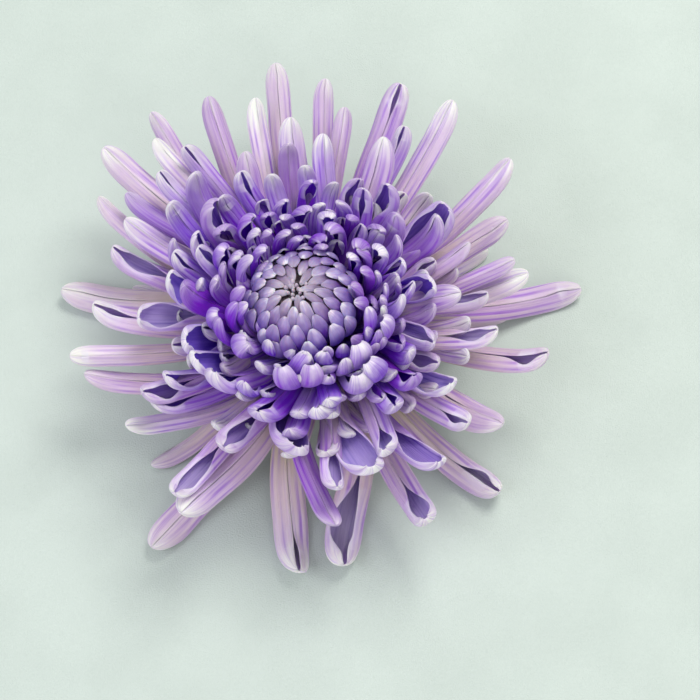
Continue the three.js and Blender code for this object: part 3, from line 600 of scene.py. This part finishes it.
def floret_line(ring, form, numbers, number):
    """A floret's length, and a function that gives its place and directions at a share of it."""
    seen_across, seen_up, width = numbers[:3]
    lift = numbers[3] if len(numbers) > 3 else 0
    bow = numbers[4] if len(numbers) > 4 else 0
    tip = seen_point(seen_across, seen_up, ring["tip"] + lift)
    azimuth = math.atan2(tip.y, tip.x)
    out = Vector((math.cos(azimuth), math.sin(azimuth), 0))
    across = Vector((-math.sin(azimuth), math.cos(azimuth), 0))

    def heading(pitch):
        slope = math.radians(pitch)
        return out * math.cos(slope) + Vector((0, 0, math.sin(slope)))

    # The body is a cubic curve, whose middle moves by three quarters of what its two inner knots move.
    start = out * ROOT_RADIUS + Vector((0, 0, ring["root"]))
    tip_heading = heading(ring["pitch"][1])
    bend = math.radians(form["turn"])
    bend_length = width * form["bend"]
    bend_radius = bend_length / bend
    sway = across * (bow + (draw(number, 3) - 0.5) * SWAY) * 4 / 3
    end_heading = (tip_heading * (tip - start).length * CURVE_REACH - sway / 2).normalized()
    steepest = min(bend, math.radians(90 - ring["pitch"][1]))
    end = tip - end_heading * bend_radius * math.sin(steepest)
    span = (end - start).length
    bend_share = bend_length / (span + bend_length)
    reach = span * CURVE_REACH
    after_start = start + heading(ring["pitch"][0]) * reach + sway * 1.5
    before_end = end - tip_heading * reach + sway / 2
    twist = math.radians((draw(number, 4) - 0.5) * TWIST)

    def at(share):
        body = min(share / (1 - bend_share), 1)
        turn = bend * max((share - 1 + bend_share) / bend_share, 0)
        rest = 1 - body
        place = start * rest**3 + after_start * 3 * rest**2 * body
        place += before_end * 3 * rest * body**2 + end * body**3
        along = (after_start - start) * rest**2 + (before_end - after_start) * 2 * rest * body
        along = (along + (end - before_end) * body**2).normalized()
        side = Matrix.Rotation(twist * share, 3, along) @ across
        inward = along.cross(side).normalized()
        place = place + along * bend_radius * math.sin(turn) + inward * bend_radius * (1 - math.cos(turn))
        turned = inward * math.cos(turn) - along * math.sin(turn)
        return place, turned, side

    return span + bend_length, at


def add_floret(shape, ring, tip_entry, number, columns, rows):
    """Adds one floret to a shape: a sheet rolled round the floret's line."""
    form = FORMS[tip_entry[-1] if isinstance(tip_entry[-1], str) else ring["form"]]
    numbers = [value for value in tip_entry if not isinstance(value, str)]
    width = numbers[2] = numbers[2] * ring["full"]
    across_along = shape.loops.layers.uv["across_along"]
    tint = shape.verts.layers.float_color["tint"]
    length, at = floret_line(ring, form, numbers, number)
    luck = draw(number, 1)
    pale = min(max(ring["pale"] + (draw(number, 2) - 0.5) * PALE_SPREAD, 0), 1)
    lean = (draw(number, 5) - 0.5) * LEAN
    tongue = form["tongue"]
    taper_from = 1 - TIP_LENGTH * width / length
    mouth_from = 1 - (form["mouth"] + TIP_LENGTH) * mix(*MOUTH_SPREAD, draw(number, 10)) * width / length
    mouth_ramp = mix(*MOUTH_RAMP, draw(number, 11)) * width / length
    made = bmesh.ops.create_grid(shape, x_segments=columns, y_segments=rows, size=0.5)
    spots = {vert: (vert.co.x * 2, vert.co.y + 0.5) for vert in made["verts"]}
    lines = {}
    for vert, (side, share) in spots.items():
        share = 1 - (1 - share) ** TIP_CROWDING
        if share not in lines:
            lines[share] = at(share)
        place, inward, across = lines[share]

        # The tip closes, and the roll opens before it and towards the end of a tongue.
        past = max((share - taper_from) / (1 - taper_from), 0)
        blunt = math.sqrt(max(1 - past ** form["blunt"], 0))
        closing = (1 - smooth(past / 0.8)) * (1 - tongue) + tongue
        opening = smooth((share - mouth_from) / mouth_ramp) * closing
        teeth = 1 + TOOTH_DEPTH * math.cos(side * TOOTH_TURN) * smooth((past - 0.5) / 0.5)
        half_roll = math.pi * mix(CLOSED_ROLL, form["roll"], opening) * mix(1, blunt * teeth, tongue)
        ragged = noise.noise(Vector((share * length / RAGGED_LENGTH, side, number * 1.9)))
        ragged *= RAGGED * opening
        angle = side * half_roll * (1 + ragged) + lean * opening * abs(side)

        # The roll's radius, with its grooves and an uneven skin.
        full = width / 2 * mix(ROOT_WIDTH_SHARE, 1, smooth(share / FULL_WIDTH_SHARE))
        radius = full * mix(mix(0.03, 0.8, tongue), 1, blunt)
        grooves = sum(
            deep * math.exp(-(((abs(angle) - groove) / GROOVE_SPREAD) ** 2)) for groove, deep in GROOVES
        )
        crinkle = noise.noise(Vector((share * length / CRINKLE_LENGTH, angle * 0.8, number * 3.7)))
        radius *= 1 - grooves * smooth(share / 0.2) * (1 - smooth(past)) + CRINKLE * crinkle
        depth = radius * (1 - math.cos(angle)) + full * 2 * form["nose"] * (1 - blunt)
        vert.co = place + across * radius * math.sin(angle) + inward * depth * form["flat"]
        vert.co.z = max(vert.co.z, PETAL_THICKNESS - ROOT_HEIGHT)
        vert[tint] = (luck, pale, abs(side) * smooth(opening * 3), 1)
        for loop in vert.link_loops:
            loop[across_along].uv = (0.5 + angle / (2 * math.pi), share)


def make_ring(piece, name, tips, first_number, columns, rows):
    shape = bmesh.new()
    shape.loops.layers.uv.new("across_along")
    shape.verts.layers.float_color.new("tint")
    for place, tip_entry in enumerate(tips):
        add_floret(shape, RINGS[name], tip_entry, first_number + place, columns, rows)
    made = finish(piece, shape, [petal_outside, petal_inside], "ray_florets")
    give_wall(made, PETAL_THICKNESS, inner_material=1)
    return made


make_ring("resting_florets", "resting", TIPS["resting"], first_number=1, columns=16, rows=18)
make_ring("skirt_florets", "skirt", TIPS["skirt"], first_number=20, columns=12, rows=14)
make_ring("outer_florets", "outer", TIPS["outer"], first_number=40, columns=16, rows=18)
make_ring("fourth_ring_florets", "fourth", TIPS["fourth"], first_number=80, columns=14, rows=16)
make_ring("third_ring_florets", "third", TIPS["third"], first_number=120, columns=12, rows=14)
make_ring("second_ring_florets", "second", TIPS["second"], first_number=170, columns=12, rows=12)
make_ring("inner_ring_florets", "inner", TIPS["inner"], first_number=220, columns=10, rows=10)

# The florets that fill each ring's gaps from below. The ones in front hide them for the most part, so they
# are placed by rule: the golden angle apart, at a drawn reach in mm from the bloom's axis.
GAP_RINGS = (
    {"ring": "outer", "count": 26, "reach": (36, 47), "width": 5.4, "first": 300, "rows": 12},
    {"ring": "fourth", "count": 34, "reach": (29, 38), "width": 5.2, "first": 340, "rows": 12},
    {"ring": "third", "count": 34, "reach": (23, 29), "width": 4.8, "first": 400, "rows": 12},
    {"ring": "second", "count": 24, "reach": (18, 22), "width": 4.4, "first": 450, "rows": 10},
)
GAP_FORMS = ("finger", "slit", "eye", "finger", "nick")
GAP_LIFT = (-1.5, 1)  # mm that a tip lies below or above its ring's height
GAP_WIDTHS = (0.9, 1.1)  # as shares of the row's width


def gap_tips(gap):
    """The tips of the florets that fill a ring's gaps."""
    sine, cosine = math.sin(math.radians(VIEW_ELEVATION)), math.cos(math.radians(VIEW_ELEVATION))
    for number in range(gap["count"]):
        turn = math.radians(number * GOLDEN_ANGLE)
        reach = mix(*gap["reach"], draw(number, 12))
        lift = mix(*GAP_LIFT, draw(number, 13))
        up = reach * math.sin(turn) * sine + (RINGS[gap["ring"]]["tip"] + lift) * cosine
        width = gap["width"] * mix(*GAP_WIDTHS, draw(number, 14))
        yield reach * math.cos(turn), up, width, lift, GAP_FORMS[number % len(GAP_FORMS)]


for gap in GAP_RINGS:
    make_ring("florets_under_" + gap["ring"], gap["ring"], gap_tips(gap), gap["first"], 10, gap["rows"])

# The heart: small florets that close over one another like scales on a globe, with their tips bent
# towards the growing point, where the globe sinks. A core under them is painted brownish black, as painted
# shade for the shade in the gaps between them.
HEART_LEAN = -8  # degrees, to the left in the photograph's view
HEART_SHIFT = -1.6
HEART_CENTRE = 10.8
HEART_RADIUS = 13
HEART_HALF_HEIGHT = 10.4
HEART_DIMPLE = 2  # mm deep, at the growing point
HEART_DIMPLE_SPREAD = 18  # degrees
HEART_FLORETS = 64
HEART_TIP_POLAR = 66  # degrees from the growing point to the oldest scale's tip
HEART_PALE_POLAR = 45  # degrees from it to where the scales are fully violet
HEART_ARC = 0.4 * math.pi  # radians from a scale's middle to its side
SCALE_THICKNESS = 0.35
SCALE_WIDTHS = (2, 5.6)  # mm, of the youngest scale and of the oldest
SCALE_OVERLAP = 6  # mm that a scale reaches down under the younger ones, besides twice its width
SCALE_FOOT = -0.8  # mm from the globe to a scale's foot
SCALE_LIFT = 2.4  # mm that the oldest scale stands off farther than the youngest
SCALE_LIFT_SPREAD = 0.8  # mm by which scales of one age differ in it
SCALE_TURN_SPREAD = 0.12  # radians by which they differ from the golden angle
SCALE_CRINKLE = 0.08
SCALE_RIDGE = 0.05  # mm
CORE_STAND_OFF = -1.2
BUDS = 16
BUD_SPREAD = 13  # degrees
BUD_STAND_OFF = -0.1
BUD_RADII = (0.45, 0.62)
BUD_STRETCH = 0.8  # how much longer than wide, as a share of its width

TO_HEART = Matrix.Translation((HEART_SHIFT, 0, 0)) @ Matrix.Rotation(math.radians(HEART_LEAN), 4, "Y")

# Heart petal skin outside: satin, greyish lilac at the growing point and violet round it, cream at the tips.
# The scales' own violet at their bases is darkened further with painted shade, where each lies under the
# next.
heart_outside = material(
    "satin_heart_petal_outside",
    petal_colour(
        [(0.3, "#402682"), (0.5, "#6A52A0"), (0.7, "#9080B2"), (0.88, "#B2A6C8"), (1.0, "#E6E0EA")],
        [(0.3, "#544258"), (0.5, "#806E86"), (0.7, "#A496AA"), (0.88, "#C2B8C4"), (1.0, "#EEE8E6")],
        "#8E7AB4", 0.4, 0.4, "#EAE2EC",
    ),
    petal_roughness, petal_bump, Subsurface_Weight=0.25, Subsurface_Scale=0.0008, Sheen_Weight=0.15,
)

# Heart petal skin inside: dull, and dark where it lies in the shade of the next scale.
heart_inside = material(
    "shaded_heart_petal_inside",
    petal_colour(
        [(0.0, "#3A2062"), (0.5, "#63489C"), (1.0, "#A592C4")],
        [(0.0, "#44343C"), (0.5, "#7A6674"), (1.0, "#B5A8B0")],
        "#2E1848", 0.4, 0.2, "#B7A6C4",
    ),
    petal_roughness, petal_bump, Subsurface_Weight=0.1, Subsurface_Scale=0.0006,
)


def heart_point(polar, azimuth, stand_off):
    """A point off the heart's globe, by its angle from the growing point and its angle round it."""
    dimple = HEART_DIMPLE * math.exp(-((polar / math.radians(HEART_DIMPLE_SPREAD)) ** 2))
    radius = HEART_RADIUS + stand_off
    return Vector((
        radius * math.sin(polar) * math.cos(azimuth),
        radius * math.sin(polar) * math.sin(azimuth),
        HEART_CENTRE + (HEART_HALF_HEIGHT + stand_off - dimple) * math.cos(polar),
    ))


def add_heart_floret(shape, number):
    """Adds one scale of the heart. Scales grow wider, and lift farther from the globe, as they age."""
    across_along = shape.loops.layers.uv["across_along"]
    tint = shape.verts.layers.float_color["tint"]
    age = (number + 0.5) / HEART_FLORETS
    azimuth = math.radians(number * GOLDEN_ANGLE) + (draw(number, 7) - 0.5) * SCALE_TURN_SPREAD
    tip_polar = math.radians(HEART_TIP_POLAR) * age**0.8
    width = mix(*SCALE_WIDTHS, age**0.7) * mix(0.9, 1.1, draw(number, 8))
    base_polar = tip_polar + (SCALE_OVERLAP + width * 2) / HEART_RADIUS
    lift = SCALE_LIFT * age**1.5 + SCALE_LIFT_SPREAD * (draw(number, 9) - 0.5)
    taper_from = mix(0.72, 0.55, age)
    pale = 1 - smooth(tip_polar / math.radians(HEART_PALE_POLAR))
    luck = draw(number, 1)
    across = Vector((-math.sin(azimuth), math.cos(azimuth), 0))
    made = bmesh.ops.create_grid(shape, x_segments=6, y_segments=10, size=0.5)
    spots = {vert: (vert.co.x * 2, vert.co.y + 0.5) for vert in made["verts"]}
    for vert, (side, share) in spots.items():
        stand_off = mix(SCALE_FOOT, 0.5 + lift, smooth(share / 0.85))
        stand_off -= (0.3 + 0.5 * age) * smooth((share - 0.8) / 0.2)
        middle = heart_point(mix(base_polar, tip_polar, share), azimuth, stand_off)
        outward = (middle - Vector((0, 0, HEART_CENTRE))).normalized()
        past = max(share - taper_from, 0) / (1.01 - taper_from)
        outline = mix(0.7, 1, smooth(share / 0.5)) * math.sqrt(1 - past**2)
        angle = side * HEART_ARC
        crinkle = noise.noise(Vector((share * 3, angle, number * 2.3))) * SCALE_CRINKLE
        ridge = SCALE_RIDGE * math.cos(side * 3 * math.pi) * (1 - share)
        half = width / 2 * outline * (1 + crinkle)
        sunk = (1 - math.cos(angle)) * half * mix(0.45, 0.8, age) - ridge
        aside = half * math.sin(angle) / math.sin(HEART_ARC)
        vert.co = TO_HEART @ (middle + across * aside - outward * sunk)
        vert[tint] = (luck, pale, abs(side) * 0.8, 1)
        for loop in vert.link_loops:
            loop[across_along].uv = (0.5 + side * 0.2, share)


def add_bud(shape, number):
    """Adds one of the unopened florets, like grains, that fill the growing point."""
    across_along = shape.loops.layers.uv["across_along"]
    tint = shape.verts.layers.float_color["tint"]
    polar = math.radians(BUD_SPREAD) * math.sqrt((number + 0.5) / BUDS)
    azimuth = math.radians(number * GOLDEN_ANGLE + 40)
    centre = heart_point(polar, azimuth, BUD_STAND_OFF)
    outward = (centre - Vector((0, 0, HEART_CENTRE))).normalized()
    made = bmesh.ops.create_icosphere(shape, subdivisions=2, radius=mix(*BUD_RADII, draw(number, 15)))
    for vert in made["verts"]:
        raised = vert.co + outward * vert.co.dot(outward) * BUD_STRETCH
        vert.co = TO_HEART @ (centre + raised)
        vert[tint] = (draw(number, 16), 1, 0, 1)
        for loop in vert.link_loops:
            loop[across_along].uv = (0.5, 0.86)


def make_heart():
    shape = bmesh.new()
    shape.loops.layers.uv.new("across_along")
    shape.verts.layers.float_color.new("tint")
    for number in range(HEART_FLORETS):
        add_heart_floret(shape, number)
    for number in range(BUDS):
        add_bud(shape, number)
    heart = finish("heart_scales", shape, [heart_outside, heart_inside], "heart_florets")
    give_wall(heart, SCALE_THICKNESS, inner_material=1)
    return heart


make_heart()


def core_shade_colour(tree):
    place = add(tree, "ShaderNodeTexCoord").outputs["Object"]
    mottling = add(tree, "ShaderNodeTexNoise", Vector=place, Scale=900, Detail=3).outputs["Fac"]
    shade_browns = [(0.35, "#2E2030"), (0.65, "#5E4C56")]
    return add(tree, "ShaderNodeValToRGB", stops=shade_browns, Fac=mottling).outputs["Color"]


# Core: painted shade, dull and brownish black, mottled 1 mm across, for the shade in the gaps round the
# growing point.
heart_core_painted_shade = material("painted_shade_heart_core", core_shade_colour, petal_roughness, stem_bump)


def make_core():
    shape = bmesh.new()
    bmesh.ops.create_uvsphere(shape, u_segments=32, v_segments=20, radius=1)
    for vert in shape.verts:
        polar = math.acos(max(min(vert.co.z, 1), -1))
        azimuth = math.atan2(vert.co.y, vert.co.x)
        vert.co = TO_HEART @ heart_point(polar, azimuth, CORE_STAND_OFF)
    return finish("heart_core", shape, [heart_core_painted_shade], "heart_florets")


make_core()

# The setting: a plain pale floor, soft studio light from behind, the left and the front, and a camera that
# looks down on the bloom along the line of sight of the photograph.
FLOOR_HALF_SIDE = 2  # m
PICTURE_WIDTH = 175  # mm across the picture at the bloom's root
AIM_ACROSS, AIM_UP = 8.75, -6.25  # mm from the root to the picture's middle
SENSOR_WIDTH = 36


def floor_colour(tree):
    place = add(tree, "ShaderNodeTexCoord").outputs["Object"]
    grain = add(tree, "ShaderNodeTexNoise", Vector=place, Scale=40, Detail=2).outputs["Fac"]
    greys = [(0.3, "#BECAC3"), (0.7, "#C3CFC8")]
    return add(tree, "ShaderNodeValToRGB", stops=greys, Fac=grain).outputs["Color"]


# Floor paint: matt and plain, with a faint mottling 25 mm across.
floor_paint = material("matt_pale_floor", floor_colour, petal_roughness, stem_bump)
floor_shape = bmesh.new()
bmesh.ops.create_grid(floor_shape, x_segments=1, y_segments=1, size=FLOOR_HALF_SIDE)
floor_mesh = bpy.data.meshes.new("floor")
floor_shape.to_mesh(floor_mesh)
floor_shape.free()
floor_mesh.materials.append(floor_paint)
floor = bpy.data.objects.new("floor", floor_mesh)
bpy.context.scene.collection.objects.link(floor)
floor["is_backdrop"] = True


def add_light(name, place, size, power, colour):
    lamp = bpy.data.lights.new(name, "AREA")
    lamp.shape = "DISK"
    lamp.size = size
    lamp.energy = power
    lamp.color = linear(colour)[:3]
    made = bpy.data.objects.new(name, lamp)
    made.location = place
    made.rotation_euler = (root - Vector(place)).to_track_quat("-Z", "Y").to_euler()
    bpy.context.scene.collection.objects.link(made)
    return made


add_light("key_softbox", place=(0.35, 0.55, 0.95), size=0.7, power=9, colour="#FFFDF8")
add_light("fill_softbox", place=(-0.8, -0.35, 0.7), size=0.9, power=5, colour="#F4F2FF")
add_light("front_softbox", place=(0.25, -0.95, 0.45), size=0.9, power=3, colour="#FFFBF6")

world = bpy.data.worlds.new("studio")
world.use_nodes = True
world.node_tree.nodes["Background"].inputs["Color"].default_value = linear("#EEF1F0")
world.node_tree.nodes["Background"].inputs["Strength"].default_value = 0.6
bpy.context.scene.world = world
bpy.context.scene.view_settings.view_transform = "Standard"

elevation = math.radians(VIEW_ELEVATION)
picture_up = Vector((0, math.sin(elevation), math.cos(elevation)))
aim = root + (Vector((AIM_ACROSS, 0, 0)) + picture_up * AIM_UP) * MM
lens = bpy.data.cameras.new("camera")
lens.sensor_width = SENSOR_WIDTH
lens.lens = SENSOR_WIDTH * CAMERA_DISTANCE / PICTURE_WIDTH
lens.clip_start = 0.01
camera = bpy.data.objects.new("camera", lens)
camera.location = aim + Vector((0, -math.cos(elevation), math.sin(elevation))) * CAMERA_DISTANCE * MM
camera.rotation_euler = (math.radians(90 - VIEW_ELEVATION), 0, 0)
bpy.context.scene.collection.objects.link(camera)
bpy.context.scene.camera = camera

boxes = {"cad": cad_box, "visual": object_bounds()}
{name: [list(corner) for corner in box] for name, box in boxes.items()}
